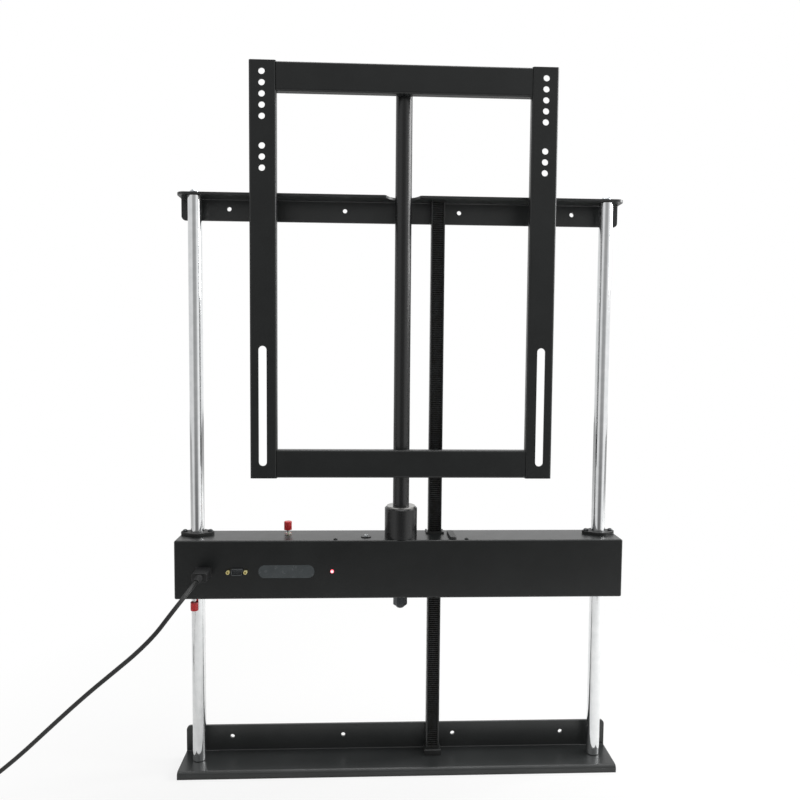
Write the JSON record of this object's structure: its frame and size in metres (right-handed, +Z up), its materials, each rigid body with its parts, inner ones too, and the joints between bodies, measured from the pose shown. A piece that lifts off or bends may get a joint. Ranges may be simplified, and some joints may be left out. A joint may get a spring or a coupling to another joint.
{
  "type": "tv lift mechanism",
  "caption": "Motorised television lift: a housing climbs a toothed rack between two guide rods and carries a mast with a swivelling screen frame.",
  "frame": {"origin": "middle of the stand's footprint at floor level", "axes": "+Z up along the lift's travel, front with the screen frame facing -Y, +X to the right seen from the front"},
  "size_m": [1.0905, 0.1679, 1.034],
  "materials": {
    "bracket_black": "semi-gloss black powder coat",
    "rod_chrome": "hard chrome, ground",
    "screw_zinc": "bright zinc plate",
    "screw_black": "black oxide",
    "channel_black": "black powder coat",
    "gear_steel": "machined steel",
    "housing_black": "semi-gloss black powder coat",
    "bearing_iron": "black painted iron",
    "mast_black": "semi-gloss black paint",
    "bush_bronze": "sintered bronze",
    "nylon_white": "natural nylon",
    "trim_black": "black moulding",
    "motor_steel": "plated can",
    "gearbox_alloy": "die cast",
    "board_green": "solder mask",
    "window_smoke": "dark infrared acrylic",
    "lamp_red": "red lens",
    "contact_brass": "plated brass",
    "stop_red": "red vinyl cap",
    "frame_black": "semi-gloss black powder coat",
    "cord_black": "black flexible PVC"
  },
  "bodies": {
    "stand": {"base_bracket": "bracket_black", "top_bracket": "bracket_black", "guide_rod_left": "rod_chrome", "guide_rod_right": "rod_chrome", "rod_washers_lower": "screw_zinc", "rod_screws_lower": "screw_zinc", "rod_screws_upper": "screw_zinc", "rack_mounts": "channel_black", "rack_channel": "channel_black", "gear_rack": "gear_steel", "rack_screws": "screw_zinc", "cord_run": "cord_black", "cord_coil": "cord_black", "mains_plug": "cord_black", "mains_blades": "contact_brass"},
    "pinion": {"pinion_shaft": "gear_steel", "drive_pinion": "gear_steel"},
    "upper_stop": {"upper_stop_cap": "stop_red", "upper_stop_stem": "gear_steel"},
    "lower_stop": {"lower_stop_cap": "stop_red", "lower_stop_stem": "gear_steel"},
    "swivel": {"mast": "mast_black", "mast_cap": "trim_black", "spindle_nut": "screw_zinc", "frame_upright_left": "frame_black", "frame_upright_right": "frame_black", "frame_rail_top": "frame_black", "frame_rail_bottom": "frame_black", "mast_saddles": "gearbox_alloy", "saddle_screws": "screw_zinc"},
    "carriage": {"motor_screws": "screw_zinc", "cover_screws": "screw_zinc", "bearing_screws": "screw_black", "top_screws": "screw_black", "top_clip": "channel_black", "housing_shell": "housing_black", "rear_cover": "housing_black", "inner_brackets": "housing_black", "motor_bracket": "housing_black", "guide_bearings_upper": "bearing_iron", "guide_bearings_lower": "bearing_iron", "outboard_bearing": "bearing_iron", "spindle_hub": "bearing_iron", "mast_collar": "mast_black", "collar_bushes": "bush_bronze", "thrust_washer": "nylon_white", "stop_guides": "nylon_white", "rack_grommets": "trim_black", "power_inlet": "trim_black", "limit_switches": "trim_black", "board_parts": "trim_black", "motor": "motor_steel", "serial_shell": "motor_steel", "gearbox": "gearbox_alloy", "control_board": "board_green", "ir_window": "window_smoke", "status_lamp": "lamp_red", "serial_pins": "contact_brass", "connector_posts": "contact_brass", "supply_plug": "cord_black"}
  },
  "joints": [
    {"name": "lift", "type": "slide", "parent": "stand", "child": "carriage", "axis": [0, 0, 1], "range_m": [-0.2385, 0.4775]},
    {"name": "pinion", "type": "hinge", "parent": "carriage", "child": "pinion", "pos_m": [0.0525, 0.0015, 0.3145], "axis": [1, 0, 0], "range_deg": [-2285, 1142]},
    {"name": "swivel", "type": "hinge", "parent": "carriage", "child": "swivel", "pos_m": [0, -0.006, 0.3], "axis": [0, 0, 1], "range_deg": [-4, 4]},
    {"name": "upper_stop", "type": "slide", "parent": "carriage", "child": "upper_stop", "axis": [0, 0, -1], "range_m": [0, 0.0035], "stiffness_N_per_m": 400, "springref_m": -0.004},
    {"name": "lower_stop", "type": "slide", "parent": "carriage", "child": "lower_stop", "axis": [0, 0, 1], "range_m": [0, 0.0035], "stiffness_N_per_m": 400, "springref_m": -0.004}
  ],
  "couplings": [
    {"joint": "pinion", "follows": "lift", "rad_per_m": -83.333}
  ]
}
